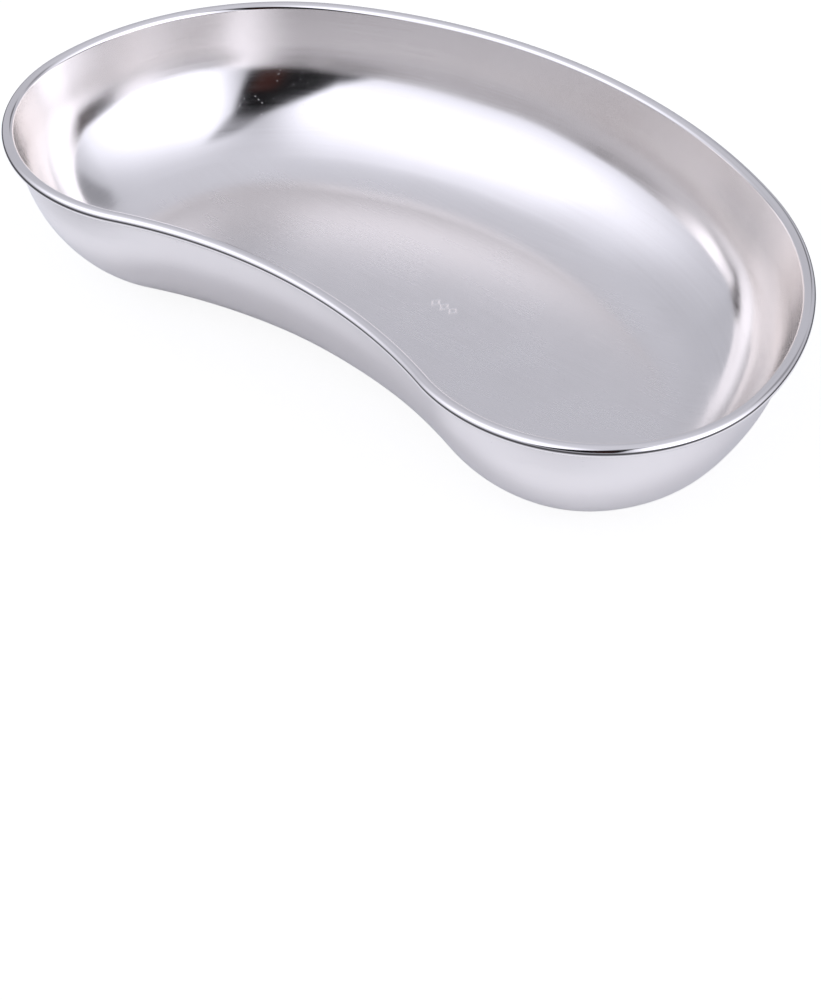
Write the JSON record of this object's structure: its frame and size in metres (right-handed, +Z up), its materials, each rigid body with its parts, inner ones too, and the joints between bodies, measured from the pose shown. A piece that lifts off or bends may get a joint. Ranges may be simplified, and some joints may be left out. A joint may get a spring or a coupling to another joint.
{
  "type": "kidney dish",
  "caption": "Shallow bean-shaped steel dish with a flat floor, curved walls and a rolled rim, hollowed along one side to fit against the body.",
  "frame": {"origin": "on the surface that the dish stands on, under the middle of its outline", "axes": "+X along the dish, +Y towards its convex back, +Z up"},
  "size_m": [0.25, 0.15, 0.046],
  "materials": {
    "pan": "satin, fine grain",
    "rim": "polished"
  },
  "bodies": {
    "root": {"floor_panel": "pan", "bowl_wall": "pan", "rolled_rim": "rim"}
  },
  "joints": []
}
